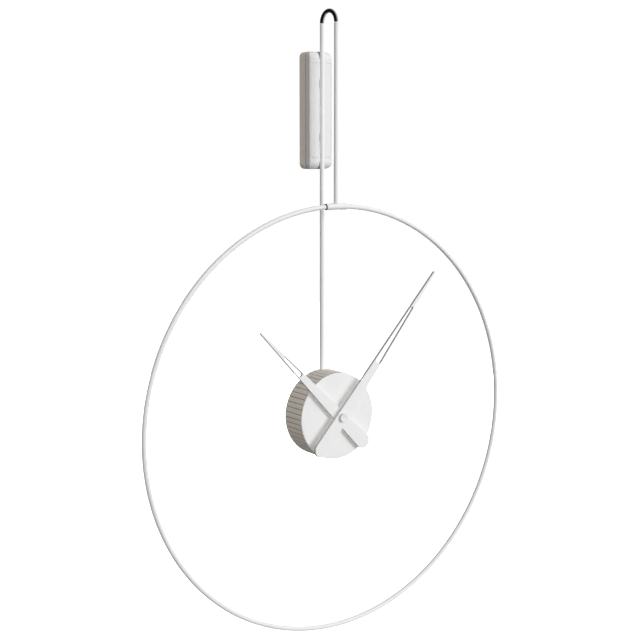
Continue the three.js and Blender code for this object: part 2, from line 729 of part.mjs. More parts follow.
add(drum, "rubber_washer", rubberWasher(), rubber);
add(drum, "centre_nut", centreNut(), brass);
add(drum, "movement_case_front", movementCaseFront(), blackPlastic);
add(drum, "movement_case_back", movementCaseBack(), blackPlastic);
add(drum, "centre_wheel", centreWheel(), brass);
add(drum, "hour_wheel", hourWheel(), greyPlastic);
place(add(drum, "minute_wheel", minuteWheel(), greyPlastic), GEARS.minute);
place(add(drum, "third_wheel", thirdWheel(), greyPlastic), GEARS.third);
place(add(drum, "fourth_wheel", fourthWheel(), greyPlastic), GEARS.fourth);
place(add(drum, "rotor", rotor(), steel), GEARS.rotor);
place(add(drum, "setting_knob", settingKnob(), greyPlastic), GEARS.minute);
add(drum, "stator_plate", statorPlate(), steel);
add(drum, "drive_coil", driveCoil(), copper);
add(drum, "circuit_board", circuitBoard(), boardGreen);
add(drum, "quartz_crystal", quartzCrystal(), steel);
add(drum, "battery", battery(), cellJacket);
add(drum, "battery_contact", batteryContact(), brass);
add(drum, "battery_spring", batterySpring(), steel);

// ---------- hands ----------

// A tapered hand pointing up from its hub, with a round tail, a round tip and a long open window
// that leaves a thin rim on each side.
function hand({ length, tail, hub, tip, slot, rim, frontY }, bore) {
  const halfWidth = (s) => hub + ((tip - hub) * s) / length;
  const tailRadius = halfWidth(-tail + hub);
  const tailCentre = -tail + tailRadius;
  const shape = new THREE.Shape();
  shape.absarc(0, length - tip, tip, 0, Math.PI);
  shape.absarc(0, tailCentre, tailRadius, Math.PI, 2 * Math.PI);
  const [near, far] = slot;
  const nearHalf = halfWidth(near) - rim;
  const farHalf = halfWidth(far) - rim;
  const window = new THREE.Path();
  window.moveTo(-nearHalf, near + SLOT_ROUND);
  window.quadraticCurveTo(-nearHalf, near, SLOT_ROUND - nearHalf, near);
  window.lineTo(nearHalf - SLOT_ROUND, near);
  window.quadraticCurveTo(nearHalf, near, nearHalf, near + SLOT_ROUND);
  window.lineTo(farHalf, far);
  window.lineTo(-farHalf, far);
  window.closePath();
  shape.holes.push(window);
  shape.holes.push(new THREE.Path().absarc(0, 0, bore, 0, 2 * Math.PI));
  return plate(shape, frontY, frontY + HAND_THICKNESS, 7);
}

function hubCap() {
  const edge = 0.8;
  const backY = MINUTE_HAND.frontY - GAP;
  const boreRadius = 1 + GAP;
  return turned(
    [
      [0, HUB_CAP.frontY],
      [HUB_CAP.radius - edge, HUB_CAP.frontY],
      [HUB_CAP.radius, HUB_CAP.frontY + edge],
      [HUB_CAP.radius, backY],
      [boreRadius, backY],
      [boreRadius, SHAFT_FRONT_Y - GAP],
      [0, SHAFT_FRONT_Y - GAP],
    ],
    28,
  );
}

const degrees = THREE.MathUtils.degToRad;
add(drum, "hour_hand", hand(HOUR_HAND, 2.6 + GAP), whiteLacquer).rotation.y = degrees(HOUR_HAND.angle);
add(drum, "minute_hand", hand(MINUTE_HAND, 1 + GAP), whiteLacquer).rotation.y = degrees(MINUTE_HAND.angle);
add(drum, "hub_cap", hubCap(), whiteLacquer);

export default root;
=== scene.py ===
import json
import math

import bmesh
import bpy
from mathutils import Matrix, Vector


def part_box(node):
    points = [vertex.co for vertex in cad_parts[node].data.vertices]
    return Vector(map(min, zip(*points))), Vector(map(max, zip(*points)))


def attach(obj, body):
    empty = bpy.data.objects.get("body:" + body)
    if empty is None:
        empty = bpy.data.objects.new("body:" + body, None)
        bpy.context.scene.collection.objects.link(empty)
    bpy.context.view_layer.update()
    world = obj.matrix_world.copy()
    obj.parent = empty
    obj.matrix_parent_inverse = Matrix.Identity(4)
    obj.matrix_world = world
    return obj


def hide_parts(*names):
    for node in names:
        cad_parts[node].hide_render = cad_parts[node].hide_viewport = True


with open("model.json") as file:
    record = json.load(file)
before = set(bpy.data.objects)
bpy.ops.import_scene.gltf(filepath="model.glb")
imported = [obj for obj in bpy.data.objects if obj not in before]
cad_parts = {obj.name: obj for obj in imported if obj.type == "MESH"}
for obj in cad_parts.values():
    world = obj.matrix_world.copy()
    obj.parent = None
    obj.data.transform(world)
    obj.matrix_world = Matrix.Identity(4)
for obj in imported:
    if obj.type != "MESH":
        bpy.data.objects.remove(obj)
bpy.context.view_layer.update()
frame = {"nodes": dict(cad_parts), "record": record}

# A ring wall clock in metres, +Z up, facing -Y, with the wall at y = 0. Places and main sizes come from
# the CAD frame's boxes. The numbers below are what a box can't tell, such as the length and angle of a
# hand, and the fine sizes that the CAD solids leave out.

MM = 0.001
TAU = 2 * math.pi

CLOCK = "clock_body"


# ---------- frame measures ----------

class Box:
    """A CAD node's box, as its ends, middle and size along each axis."""

    def __init__(self, node):
        self.lo, self.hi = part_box(node)
        self.mid = (self.lo + self.hi) / 2
        self.size = self.hi - self.lo


ring_box = Box("ring")
TUBE_RADIUS = ring_box.size.y / 2
RING_RADIUS = ring_box.size.x / 2 - TUBE_RADIUS
RING_CENTRE = Vector((ring_box.mid.x, ring_box.mid.y, ring_box.mid.z))
drum_box = Box("drum_rim")
hub_cap_box = Box("hub_cap")
HUB = Vector((0, 0, hub_cap_box.mid.z))


# ---------- mesh tools ----------

def link(name, mesh):
    piece = bpy.data.objects.new(name, mesh)
    bpy.context.scene.collection.objects.link(piece)
    return piece


def from_bmesh(name, bm):
    bmesh.ops.remove_doubles(bm, verts=bm.verts, dist=1e-7)
    bmesh.ops.recalc_face_normals(bm, faces=bm.faces)
    mesh = bpy.data.meshes.new(name)
    bm.to_mesh(mesh)
    bm.free()
    return link(name, mesh)


def grid_solid(name, rings, wrap_rows=False, caps=False):
    """A closed surface over rings of points: each ring closes on itself, and the rings either close
    on each other (wrap_rows) or end in caps."""
    bm = bmesh.new()
    rows = [[bm.verts.new(p) for p in ring] for ring in rings]
    count = len(rows[0])
    pairs = list(zip(rows, rows[1:]))
    if wrap_rows:
        pairs.append((rows[-1], rows[0]))
    for a, b in pairs:
        for i in range(count):
            j = (i + 1) % count
            bm.faces.new((a[i], a[j], b[j], b[i]))
    if caps:
        bm.faces.new(rows[0][::-1])
        bm.faces.new(rows[-1])
    return from_bmesh(name, bm)


AXES = {
    "X": (Vector((1, 0, 0)), Vector((0, 1, 0)), Vector((0, 0, 1))),
    "Y": (Vector((0, 1, 0)), Vector((0, 0, 1)), Vector((1, 0, 0))),
}


def turned(name, profile, axis, centre, sides):
    """A turned solid from (radius, height along the axis) points. The profile starts and ends on the
    axis, or it is a closed loop clear of it."""
    along, u, v = AXES[axis]
    on_axis = profile[0][0] == 0
    rings = []
    for radius, height in profile:
        radius = max(radius, 1e-6)
        ring = []
        for i in range(sides):
            angle = TAU * i / sides
            ring.append(centre + along * height + (u * math.cos(angle) + v * math.sin(angle)) * radius)
        rings.append(ring)
    return grid_solid(name, rings, wrap_rows=not on_axis, caps=on_axis)


def swept(name, places, radius, sides, round_end):
    """A round tube through (point, outward direction, side direction) places, with eased ends."""
    rings = []
    last = len(places) - 1
    for index, (point, out, side) in enumerate(places):
        r = radius - round_end if index in (0, last) else radius
        ring = []
        for i in range(sides):
            angle = TAU * i / sides
            ring.append(point + (out * math.cos(angle) + side * math.sin(angle)) * r)
        rings.append(ring)
    return grid_solid(name, rings, caps=True)


def rounded_rectangle(x0, x1, z0, z1, radius, steps):
    points = []
    corners = ((x1, z1, 0), (x0, z1, 1), (x0, z0, 2), (x1, z0, 3))
    for x, z, quarter in corners:
        cx = x - radius if x == x1 else x + radius
        cz = z - radius if z == z1 else z + radius
        for i in range(steps + 1):
            angle = (quarter + i / steps) * TAU / 4
            points.append((cx + radius * math.cos(angle), cz + radius * math.sin(angle)))
    return points


def circle(x, z, radius, steps):
    return [
        (x + radius * math.cos(TAU * i / steps), z + radius * math.sin(TAU * i / steps))
        for i in range(steps)
    ]


def arc(cx, cy, radius, start, end, steps):
    return [
        (cx + radius * math.cos(start + (end - start) * i / steps),
         cy + radius * math.sin(start + (end - start) * i / steps))
        for i in range(steps + 1)
    ]


def rounded_edge(radius, front, edge):
    """Profile points of a turned part's rounded rim, from its flat front out to its full radius."""
    points = []
    for i in range(7):
        a = i / 6 * TAU / 4
        points.append((radius - edge + edge * math.sin(a), front + edge * (1 - math.cos(a))))
    return points


def evaluated_mesh(piece):
    bpy.context.view_layer.update()
    depsgraph = bpy.context.evaluated_depsgraph_get()
    return bpy.data.meshes.new_from_object(piece.evaluated_get(depsgraph))


def slab(name, loops, y0, y1, edge=0.0, edge_steps=3):
    """A plate from closed loops of (x, z), the first the outline and the rest holes, from y0 to y1,
    with the edges of its two faces rounded by edge."""
    curve = bpy.data.curves.new(name, "CURVE")
    curve.dimensions = "2D"
    curve.fill_mode = "BOTH"
    curve.extrude = (y1 - y0) / 2
    for loop in loops:
        spline = curve.splines.new("POLY")
        spline.points.add(len(loop) - 1)
        for point, (x, z) in zip(spline.points, loop):
            point.co = (x, z, 0, 1)
        spline.use_cyclic_u = True
    maker = link(name + "_outline", curve)
    mesh = evaluated_mesh(maker)
    bpy.data.objects.remove(maker)
    bpy.data.curves.remove(curve)
    bm = bmesh.new()
    bm.from_mesh(mesh)
    bpy.data.meshes.remove(mesh)
    bmesh.ops.remove_doubles(bm, verts=bm.verts, dist=1e-6)
    if edge > 0:
        def is_face_rim(e):
            return sorted(abs(f.normal.z) > 0.9 for f in e.link_faces) == [False, True]

        bm.normal_update()
        bmesh.ops.bevel(
            bm, geom=[e for e in bm.edges if is_face_rim(e)], offset=edge, offset_type="OFFSET",
            segments=edge_steps, profile=0.5, affect="EDGES", clamp_overlap=False,
        )
    turn = Matrix.Translation((0, (y0 + y1) / 2, 0)) @ Matrix.Rotation(math.radians(90), 4, "X")
    bmesh.ops.transform(bm, matrix=turn, verts=bm.verts)
    return from_bmesh(name, bm)


def block(name, lo, hi):
    bm = bmesh.new()
    bmesh.ops.create_cube(bm, size=1.0)
    for v in bm.verts:
        v.co = Vector((lo[k] if v.co[k] < 0 else hi[k] for k in range(3)))
    return from_bmesh(name, bm)


def combine(piece, others, operation):
    """Joins other solids to a piece, cuts them from it or keeps what is in both, and removes them."""
    for other in others:
        modifier = piece.modifiers.new("combine", "BOOLEAN")
        modifier.operation = operation
        modifier.solver = "EXACT"
        modifier.object = other
        mesh = evaluated_mesh(piece)
        piece.modifiers.remove(modifier)
        old = piece.data
        piece.data = mesh
        bpy.data.meshes.remove(old)
        bpy.data.objects.remove(other)


def place(piece, body, slot, material, *nodes, smooth=35, walls=None):
    """Shades a piece, smooth below an angle in degrees, gives it its material, with another for its
    walls along Y if given, and puts it on its body in place of its CAD nodes."""
    piece.data.polygons.foreach_set("use_smooth", [True] * len(piece.data.polygons))
    piece.data.set_sharp_from_angle(angle=math.radians(smooth))
    weighted = piece.modifiers.new("face_weighted_normals", "WEIGHTED_NORMAL")
    weighted.keep_sharp = True
    piece.data.materials.clear()
    piece.data.materials.append(material)
    if walls:
        piece.data.materials.append(walls)
        for face in piece.data.polygons:
            face.material_index = int(abs(face.normal.y) < 0.3)
    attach(piece, body)
    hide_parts(*nodes)


# ---------- materials ----------

def colour_sockets(sockets):
    """A mix node's sockets for colours; it has others for numbers, vectors and turns."""
    return [socket for socket in sockets if socket.type == "RGBA"]


def finish_of(
    name, colour, second, roughness, spread, grain, relief,
    metallic=0.0, coat=0.0, stretch=(1, 1, 1), wear=0.0, wear_colour=(0.9, 0.9, 0.9),
):
    """A procedural finish. colour drifts towards second over patches, roughness wanders by spread,
    grain is the texture's cells per metre, relief its height in metres, stretch its scale along each
    axis, and wear the share of wear_colour on edges."""
    material = bpy.data.materials.new(name)
    material.use_nodes = True
    nodes, links = material.node_tree.nodes, material.node_tree.links
    shader = nodes["Principled BSDF"]
    shader.inputs["Metallic"].default_value = metallic
    shader.inputs["Coat Weight"].default_value = coat
    shader.inputs["Coat Roughness"].default_value = 0.12
    where = nodes.new("ShaderNodeTexCoord")
    mapping = nodes.new("ShaderNodeMapping")
    mapping.inputs["Scale"].default_value = stretch
    links.new(where.outputs["Object"], mapping.inputs["Vector"])

    def noise(scale, detail):
        node = nodes.new("ShaderNodeTexNoise")
        node.inputs["Scale"].default_value = scale
        node.inputs["Detail"].default_value = detail
        links.new(mapping.outputs["Vector"], node.inputs["Vector"])
        return node.outputs["Fac"]

    def spread_to(value, low, high, start=0.3, end=0.7):
        node = nodes.new("ShaderNodeMapRange")
        node.inputs["From Min"].default_value = start
        node.inputs["From Max"].default_value = end
        node.inputs["To Min"].default_value = low
        node.inputs["To Max"].default_value = high
        links.new(value, node.inputs["Value"])
        return node.outputs["Result"]

    def blend(factor, a, b):
        node = nodes.new("ShaderNodeMix")
        node.data_type = "RGBA"
        links.new(factor, node.inputs["Factor"])
        for socket, value in zip(colour_sockets(node.inputs), (a, b)):
            if isinstance(value, tuple):
                socket.default_value = (*value, 1)
            else:
                links.new(value, socket)
        return colour_sockets(node.outputs)[0]

    patches = spread_to(noise(grain / 12, 3), 0, 1)
    colour_out = blend(patches, colour, second)
    if wear > 0:
        shape = nodes.new("ShaderNodeNewGeometry")
        edge = spread_to(shape.outputs["Pointiness"], 0, wear, 0.53, 0.62)
        colour_out = blend(edge, colour_out, wear_colour)
    links.new(colour_out, shader.inputs["Base Color"])
    links.new(
        spread_to(noise(grain / 5, 4), roughness - spread, roughness + spread),
        shader.inputs["Roughness"],
    )
    bump = nodes.new("ShaderNodeBump")
    bump.inputs["Strength"].default_value = 1.0
    bump.inputs["Distance"].default_value = relief
    links.new(noise(grain, 2), bump.inputs["Height"])
    links.new(bump.outputs["Normal"], shader.inputs["Normal"])
    return material


WHITE = finish_of(
    "satin_white_lacquer", (0.845, 0.85, 0.855), (0.825, 0.83, 0.835), 0.42, 0.06, 900, 6e-6,
    coat=0.15, wear=0.5, wear_colour=(0.90, 0.90, 0.89),
)
# painted shade: a darker copy of the white lacquer, so the bracket and hub cap read less bright under
# the same lamps
SHADED_WHITE = finish_of(
    "satin_white_painted_shade", (0.785, 0.795, 0.80), (0.765, 0.775, 0.78), 0.46, 0.06, 1100, 8e-6,
    coat=0.12, wear=0.5, wear_colour=(0.86, 0.86, 0.86),
)
# painted shade: a darker grey for the side walls of the hands and hub cap, standing in for the shade on
# those walls
SIDE_WALL_SHADE = finish_of(
    "side_wall_painted_shade", (0.58, 0.575, 0.565), (0.52, 0.515, 0.505), 0.5, 0.08, 1500, 1.2e-5,
)
TAUPE_COLOURS = (0.885, 0.84, 0.775), (0.835, 0.79, 0.725)
TAUPE = finish_of(
    "warm_grey_matt_lacquer", *TAUPE_COLOURS, 0.58, 0.08, 1400, 1.6e-5,
    stretch=(1, 0.25, 1), wear=0.4, wear_colour=(0.90, 0.87, 0.83),
)
# the rim's lacquer; further down its grooves get painted shade
TAUPE_WITH_GROOVE_SHADE = finish_of(
    "warm_grey_lacquer_groove_shade", *TAUPE_COLOURS, 0.58, 0.08, 1400, 1.6e-5, stretch=(1, 0.25, 1),
)
DARK_CHROME = finish_of(
    "polished_dark_chrome", (0.40, 0.405, 0.41), (0.34, 0.345, 0.35), 0.11, 0.04, 700, 1e-6,
    metallic=1.0, wear=0.3, wear_colour=(0.55, 0.55, 0.55),
)
ZINC = finish_of(
    "zinc_plate", (0.60, 0.61, 0.63), (0.50, 0.51, 0.52), 0.34, 0.08, 2500, 4e-6, metallic=1.0,
    wear=0.4, wear_colour=(0.75, 0.76, 0.77),
)
STEEL = finish_of(
    "bright_steel", (0.56, 0.57, 0.58), (0.47, 0.48, 0.49), 0.28, 0.07, 3000, 3e-6, metallic=1.0,
    stretch=(1, 1, 0.2),
)
BRASS = finish_of(
    "turned_brass", (0.78, 0.58, 0.24), (0.66, 0.47, 0.18), 0.30, 0.07, 3000, 3e-6, metallic=1.0,
    wear=0.4, wear_colour=(0.9, 0.75, 0.42),
)
# painted shade: dark grey for the deep ends of the bracket's channel, standing in for the shadow there
CHANNEL_PAINTED_SHADE = finish_of(
    "channel_painted_shade", (0.30, 0.30, 0.295), (0.24, 0.24, 0.235), 0.85, 0.06, 2600, 3e-5,
)
BLACK_PLASTIC = finish_of(
    "moulded_black_plastic", (0.022, 0.022, 0.024), (0.034, 0.034, 0.036), 0.50, 0.10, 2200, 1.2e-5,
    wear=0.5, wear_colour=(0.10, 0.10, 0.10),
)
# black rubber for the seals; the wall base's front also takes it, as painted shade in the seam
RUBBER_AND_SEAM_SHADE = finish_of(
    "black_rubber", (0.012, 0.012, 0.012), (0.022, 0.022, 0.022), 0.78, 0.08, 2600, 2e-5,
)
NYLON = finish_of(
    "natural_nylon", (0.74, 0.71, 0.63), (0.68, 0.64, 0.55), 0.46, 0.08, 2200, 8e-6,
    wear=0.4, wear_colour=(0.85, 0.83, 0.78),
)
COPPER = finish_of(
    "enamelled_winding", (0.60, 0.22, 0.08), (0.42, 0.13, 0.05), 0.33, 0.08, 9000, 3e-5, metallic=0.85,
    stretch=(1, 0.1, 0.1),
)
LAMINATE = finish_of(
    "solder_masked_laminate", (0.03, 0.20, 0.08), (0.02, 0.14, 0.06), 0.42, 0.10, 2500, 1e-5,
)
JACKET = finish_of(
    "cell_sleeve", (0.06, 0.09, 0.13), (0.045, 0.07, 0.10), 0.32, 0.06, 1500, 5e-6, coat=0.3,
    wear=0.5, wear_colour=(0.35, 0.38, 0.42),
)


def paint_shade_towards_axis(material, centre, dark_radius, clear_radius, colour):
    """Paints shade into a finish: it turns to colour nearer the Y axis through centre, which darkens the
    grooves of a turned part as painted shade.
    """
    nodes, links = material.node_tree.nodes, material.node_tree.links
    shader = nodes["Principled BSDF"]
    where = nodes.new("ShaderNodeTexCoord")
    flat = nodes.new("ShaderNodeMapping")
    flat.inputs["Location"].default_value = -centre
    links.new(where.outputs["Object"], flat.inputs["Vector"])
    across = nodes.new("ShaderNodeVectorMath")
    across.operation = "MULTIPLY"
    across.inputs[1].default_value = (1, 0, 1)
    links.new(flat.outputs["Vector"], across.inputs[0])
    radius = nodes.new("ShaderNodeVectorMath")
    radius.operation = "LENGTH"
    links.new(across.outputs["Vector"], radius.inputs[0])
    depth = nodes.new("ShaderNodeMapRange")
    depth.inputs["From Min"].default_value = dark_radius
    depth.inputs["From Max"].default_value = clear_radius
    depth.inputs["To Min"].default_value = 1
    depth.inputs["To Max"].default_value = 0
    links.new(radius.outputs["Value"], depth.inputs["Value"])
    mix = nodes.new("ShaderNodeMix")
    mix.data_type = "RGBA"
    links.new(depth.outputs["Result"], mix.inputs["Factor"])
    a, b = colour_sockets(mix.inputs)
    b.default_value = (*colour, 1)
    base_colour = shader.inputs["Base Color"]
    links.new(base_colour.links[0].from_socket, a)
    links.new(colour_sockets(mix.outputs)[0], base_colour)


# ---------- ring and its sleeve ----------

RING_END_HALF_GAP = 3.2 * MM
TUBE_END_EASE = 0.3 * MM
SLEEVE_SHARE = 0.985    # of the CAD sleeve's length
SLEEVE_CLEARANCE = 0.25 * MM
SEAL_LENGTH = {"left": 1.4 * MM, "right": 0.5 * MM}
SEAL_SET_IN = {"left": 0, "right": 0.8 * MM}


def ring_places(start, end, steps):
    """Places along the ring; the angle runs clockwise from the top, seen from the front."""
    places = []
    for i in range(steps + 1):
        angle = start + (end - start) * i / steps
        out = Vector((math.sin(angle), 0, math.cos(angle)))
        places.append((RING_CENTRE + out * RING_RADIUS, out, Vector((0, 1, 0))))
    return places


def eased(places, inset):
    """The same places with one more just inside each end, for a rounded end."""
    first, second = places[0], places[1]
    last, before = places[-1], places[-2]
    toward = (second[0] - first[0]).normalized() * inset
    back = (before[0] - last[0]).normalized() * inset
    inner_first = (first[0] + toward, first[1], first[2])
    inner_last = (last[0] + back, last[1], last[2])
    return [first, inner_first, *places[1:-1], inner_last, last]


def make_ring():
    """The open ring: its two ends stand a little apart inside the sleeve."""
    end = RING_END_HALF_GAP / RING_RADIUS
    places = eased(ring_places(end, TAU - end, 420), TUBE_END_EASE)
    piece = swept("ring_tube", places, TUBE_RADIUS, sides=28, round_end=TUBE_END_EASE)
    place(piece, CLOCK, "white_lacquer", WHITE, "ring")


def arc_collar(name, start, end, outer, bore, edge, steps):
    """A short collar round the ring's tube, with rounded ends, between two angles."""
    sides = 40
    turn = edge / RING_RADIUS
    section = [(start, bore), (start, outer - edge)]
    for i in range(1, 5):
        a = i / 4 * TAU / 4
        section.append((start + turn * (1 - math.cos(a)), outer - edge + edge * math.sin(a)))
    for i in range(1, steps):
        section.append((start + turn + (end - start - 2 * turn) * i / steps, outer))
    for i in range(0, 5):
        a = (1 - i / 4) * TAU / 4
        section.append((end - turn * (1 - math.cos(a)), outer - edge + edge * math.sin(a)))
    section.append((end, bore))
    for i in range(1, steps):
        section.append((end - (end - start) * i / steps, bore))
    rings = []
    for angle, radius in section:
        out = Vector((math.sin(angle), 0, math.cos(angle)))
        centre = RING_CENTRE + out * RING_RADIUS
        ring = []
        for k in range(sides):
            a = TAU * k / sides
            spoke = out * math.cos(a) + Vector((0, 1, 0)) * math.sin(a)
            ring.append(centre + spoke * radius)
        rings.append(ring)
    return grid_solid(name, rings, wrap_rows=True)


def make_sleeve():
    """The collar over the ring's joint, and a thin dark seal beside each of its ends."""
    sleeve = Box("ring_sleeve")
    half = math.asin(sleeve.size.x / 2 / RING_RADIUS) * SLEEVE_SHARE
    outer = sleeve.size.y / 2
    bore = TUBE_RADIUS + SLEEVE_CLEARANCE
    piece = arc_collar("ring_sleeve_collar", -half, half, outer, bore, edge=0.5 * MM, steps=8)
    place(piece, CLOCK, "white_lacquer", WHITE, "ring_sleeve")
    for side in ("left", "right"):
        seal = Box("sleeve_seal_" + side)
        sign = 1 if seal.mid.x > 0 else -1
        near = half + SLEEVE_CLEARANCE / RING_RADIUS
        far = near + SEAL_LENGTH[side] / RING_RADIUS
        start, end = sorted((sign * near, sign * far))
        outside = seal.size.y / 2 - SEAL_SET_IN[side]
        ring = arc_collar("seal_" + side, start, end, outside, bore, edge=0.2 * MM, steps=3)
        place(ring, CLOCK, "black_rubber", RUBBER_AND_SEAM_SHADE, "sleeve_seal_" + side)


# ---------- hairpin ----------

def straight_rod(name, node, foot_shape=None):
    """A rod along Z with eased ends. foot_shape gives the height of its lower edge at each y."""
    box = Box(node)
    radius, chamfer, sides = box.size.x / 2, 0.4 * MM, 48

    def ring_at(r, height):
        ring = []
        for i in range(sides):
            angle = TAU * i / sides
            x, y = box.mid.x + r * math.cos(angle), box.mid.y + r * math.sin(angle)
            ring.append(Vector((x, y, height(y))))
        return ring

    def foot(y):
        return foot_shape(y) if foot_shape else box.lo.z

    rings = [
        ring_at(radius - chamfer, foot),
        ring_at(radius, lambda y: foot(y) + chamfer),
        ring_at(radius, lambda y: box.hi.z - chamfer),
        ring_at(radius - chamfer, lambda y: box.hi.z),
    ]
    return grid_solid(name, rings, caps=True)


CROWN_HEIGHT = 0.935    # of the bend's half width
BEND_END_EASE = 0.35 * MM
SADDLE_CLEARANCE = 0.1 * MM


def make_hairpin():
    """Two straight rods and the bend over them. The front rod's foot is hollowed to fit the sleeve,
    and the rear rod is left out of shadows and bounced light."""
    rear = straight_rod("rear_rod_bar", "rear_rod")
    rear.visible_shadow = False
    rear.visible_diffuse = False
    place(rear, CLOCK, "white_lacquer", WHITE, "rear_rod")

    sleeve = Box("ring_sleeve")
    outer = sleeve.size.y / 2 + SADDLE_CLEARANCE

    def saddle(y):
        return RING_CENTRE.z + RING_RADIUS + math.sqrt(max(outer**2 - (y - sleeve.mid.y) ** 2, 0))

    front = straight_rod("front_rod_bar", "front_rod", saddle)
    place(front, CLOCK, "white_lacquer", WHITE, "front_rod")

    bend = Box("hairpin_bend")
    radius = bend.size.x / 2
    span = bend.size.y / 2 - radius
    centre = Vector((bend.mid.x, bend.mid.y, bend.lo.z))
    places = []
    steps = 72
    for i in range(steps + 1):
        angle = math.pi * i / steps
        out = Vector((0, -math.cos(angle), math.sin(angle)))
        middle = Vector((centre.x, centre.y + span * out.y, centre.z + CROWN_HEIGHT * span * out.z))
        places.append((middle, out, Vector((1, 0, 0))))
    places = eased(places, BEND_END_EASE)
    piece = swept("dark_chrome_bend", places, radius, sides=40, round_end=BEND_END_EASE)
    place(piece, CLOCK, "dark_chrome", DARK_CHROME, "hairpin_bend")


# ---------- wall bracket ----------

BRACKET_CORNER = 10 * MM
WALL_HOLE_Z, WALL_HOLE_RADIUS = 82 * MM, 2.5 * MM
END_ROUND = 13.8 * MM
SIDE_EASE = (3 * MM, 1.3 * MM)    # across and back, of the curve at the cover's front edges
SIDE_PULL = 0.4                   # where that curve's middle handle stands across it
SEAM_HEIGHT, SEAM_DEPTH = 0.9 * MM, 1.5 * MM
CHANNEL_HALF = 3.45 * MM
CHANNEL_DEPTH = 6 * MM
CHANNEL_END_Z = 87 * MM           # beyond this height the channel is cut almost to the base
CHANNEL_FLOOR = 1.2 * MM
PANEL_GAP, PANEL_CORNER = 0.5 * MM, 4.5 * MM


def extruded(name, outline, low, high, axis):
    """A closed outline pulled straight along X or Z: (y, z) points along X, (x, y) points along Z."""
    def point(p, along):
        return Vector((along, p[0], p[1])) if axis == "X" else Vector((p[0], p[1], along))

    return grid_solid(name, [[point(p, along) for p in outline] for along in (low, high)], caps=True)


def make_wall_base(base, outline):
    """The plate on the wall. Its front is painted black as painted shade, so that the seam round the
    bracket reads as a shadowed gap.
    """
    holes = [circle(0, z, WALL_HOLE_RADIUS, 32) for z in (-WALL_HOLE_Z, WALL_HOLE_Z)]
    piece = slab("bracket_wall_base", [outline, *holes], base.lo.y, base.hi.y, edge=0.35 * MM)
    place(piece, CLOCK, "taupe_body", TAUPE, "wall_base")
    # painted shade: the base's front faces turn black to stand in for the shadow in the seam
    piece.data.materials.append(RUBBER_AND_SEAM_SHADE)
    for face in piece.data.polygons:
        face.material_index = int(face.normal.y < -0.95)


def make_cover(base, outline, left, right):
    """The moulded cover: rounded ends, eased front edges, a rebate at the seam, a recess for the panels
    and a channel for the rod, painted dark grey where it is deep, as painted shade."""
    cover = Box("bracket_cover")
    front, back, top, half = cover.lo.y, cover.hi.y, cover.hi.z, cover.hi.x
    margin = 1 * MM
    quarter = TAU / 4
    body = slab("bracket_body_cover", [outline], front, back)

    lengthways = [(back + margin, top)]
    lengthways += arc(front + END_ROUND, top - END_ROUND, END_ROUND, quarter, 2 * quarter, 40)
    lengthways += arc(front + END_ROUND, END_ROUND - top, END_ROUND, 2 * quarter, 3 * quarter, 40)
    lengthways += [(back + margin, -top)]
    ease, drop = SIDE_EASE
    side = []
    for i in range(1, 11):
        t = i / 10
        x = 2 * t * (1 - t) * SIDE_PULL * ease + t * t * ease
        y = (1 - t) ** 2 * drop
        side.append((x - half, front + y))
    across = [(-half, back + margin), (-half, front + drop), *side]
    across += [(-x, y) for x, y in side[::-1]]
    across += [(half, front + drop), (half, back + margin)]

    def base_outline(growth, corner):
        return rounded_rectangle(
            base.lo.x - growth, base.hi.x + growth, base.lo.z - growth, base.hi.z + growth, corner, 18,
        )

    seam = [base_outline(margin, BRACKET_CORNER), base_outline(-SEAM_DEPTH, BRACKET_CORNER - SEAM_DEPTH)]
    combine(body, [slab("rebate", seam, back - SEAM_HEIGHT, back + margin)], "DIFFERENCE")
    combine(body, [
        extruded("ends", lengthways, -half - margin, half + margin, "X"),
        extruded("sides", across, -top - margin, top + margin, "Z"),
    ], "INTERSECT")

    recess = rounded_rectangle(
        left.lo.x - PANEL_GAP, right.hi.x + PANEL_GAP, left.lo.z - PANEL_GAP, left.hi.z + PANEL_GAP,
        PANEL_CORNER + PANEL_GAP, 10,
    )
    before, over = front - 5 * MM, top + margin
    shallow, deep = front + CHANNEL_DEPTH, back - CHANNEL_FLOOR
    combine(body, [
        slab("recess", [recess], before, left.hi.y),
        block("channel", (-CHANNEL_HALF, before, -over), (CHANNEL_HALF, shallow, over)),
        block("channel_top", (-CHANNEL_HALF, before, CHANNEL_END_Z), (CHANNEL_HALF, deep, over)),
        block("channel_foot", (-CHANNEL_HALF, before, -over), (CHANNEL_HALF, deep, -CHANNEL_END_Z)),
    ], "DIFFERENCE")
    # the cover takes the darker copy of the white, as painted shade
    place(body, CLOCK, "white_lacquer", SHADED_WHITE, "bracket_cover", smooth=25)
    # painted shade: faces deep in the channel's ends turn dark grey
    body.data.materials.append(CHANNEL_PAINTED_SHADE)
    for face in body.data.polygons:
        middle = face.center
        inside = abs(middle.x) < CHANNEL_HALF + 0.05 * MM and middle.y > shallow + 1 * MM
        face.material_index = int(inside and abs(middle.z) > CHANNEL_END_Z - 1 * MM)


def make_panel(side_name, box):
    """One flat front panel, square beside the rod and with round outer corners."""
    if side_name == "left":
        sign, outer_x, inner_x = -1, box.lo.x, box.hi.x
    else:
        sign, outer_x, inner_x = 1, box.hi.x, box.lo.x
    points = [(inner_x, box.lo.z), (inner_x, box.hi.z)]
    corners = arc(0, 0, PANEL_CORNER, TAU / 4, 0, 10)
    for x, z in corners:
        points.append((outer_x - sign * (PANEL_CORNER - x), box.hi.z - PANEL_CORNER + z))
    for x, z in corners[::-1]:
        points.append((outer_x - sign * (PANEL_CORNER - x), box.lo.z + PANEL_CORNER - z))
    panel = slab("panel_" + side_name, [points], box.lo.y, box.hi.y, edge=0.35 * MM)
    # the panels take the darker copy of the white, as painted shade
    place(panel, CLOCK, "white_lacquer", SHADED_WHITE, "front_panel_" + side_name)


